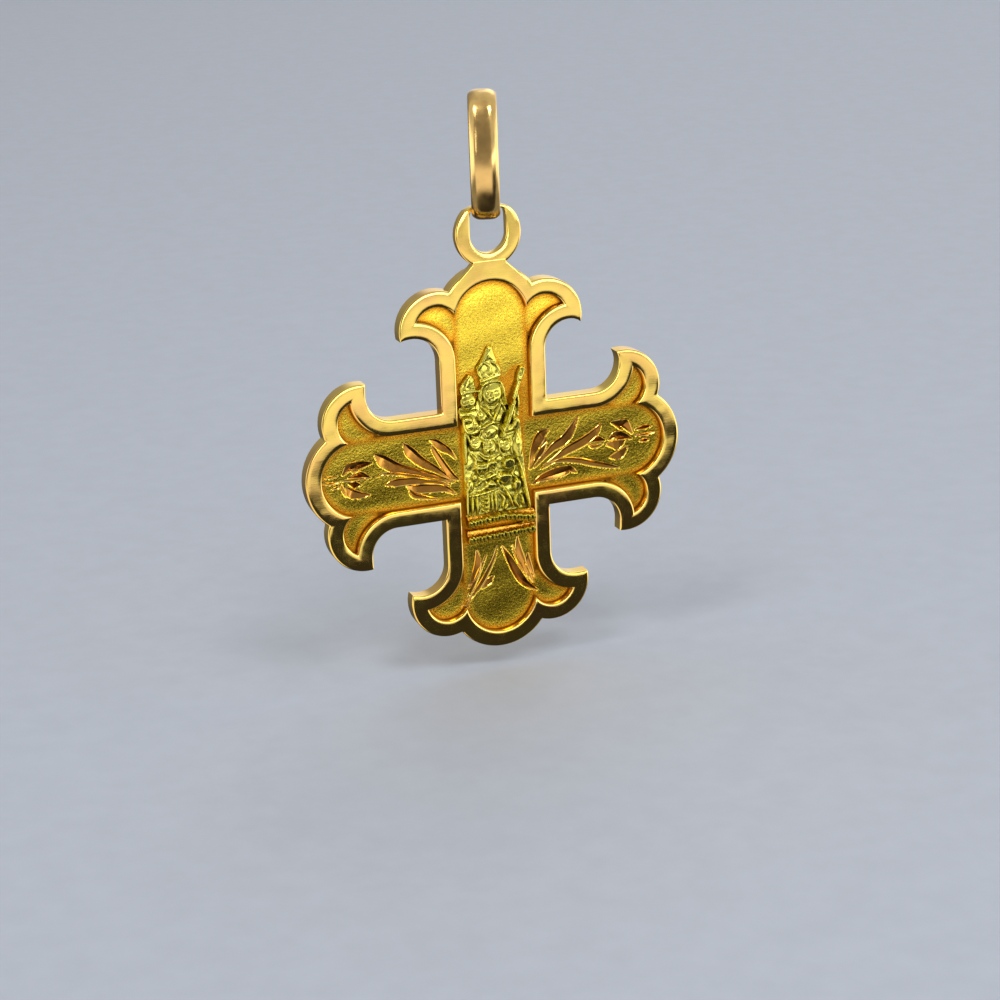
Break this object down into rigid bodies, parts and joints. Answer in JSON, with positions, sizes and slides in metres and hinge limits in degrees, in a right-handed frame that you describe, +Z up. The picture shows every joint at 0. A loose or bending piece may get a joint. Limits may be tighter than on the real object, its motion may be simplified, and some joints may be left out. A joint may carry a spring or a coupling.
{
  "type": "cross-shaped medal",
  "caption": "Flat gold cross medal with lobed, hooked arm ends, raised rim, matted and engraved ground, applied crowned figure, and a loop that hangs in an oval bail.",
  "frame": {"origin": "inside of the bail's top bend, in the middle of its band, where it hangs on a chain or cord", "axes": "+Z up, +X to the right across the arms, +Y to the back; the cross faces -Y"},
  "size_m": [0.022, 0.0042, 0.0314],
  "materials": {
    "yellow_gold": "polished rim, matted ground",
    "green_gold": "polished",
    "rose_gold": "polished"
  },
  "bodies": {
    "bail": {"bail": "rose_gold"},
    "medal": {"cross": "yellow_gold", "figure": "green_gold"}
  },
  "joints": [
    {"name": "swing", "type": "hinge", "parent": "bail", "child": "medal", "pos_m": [0, 0, -0.0048], "axis": [0.9397, -0.342, 0], "range_deg": [-125, 125]}
  ]
}
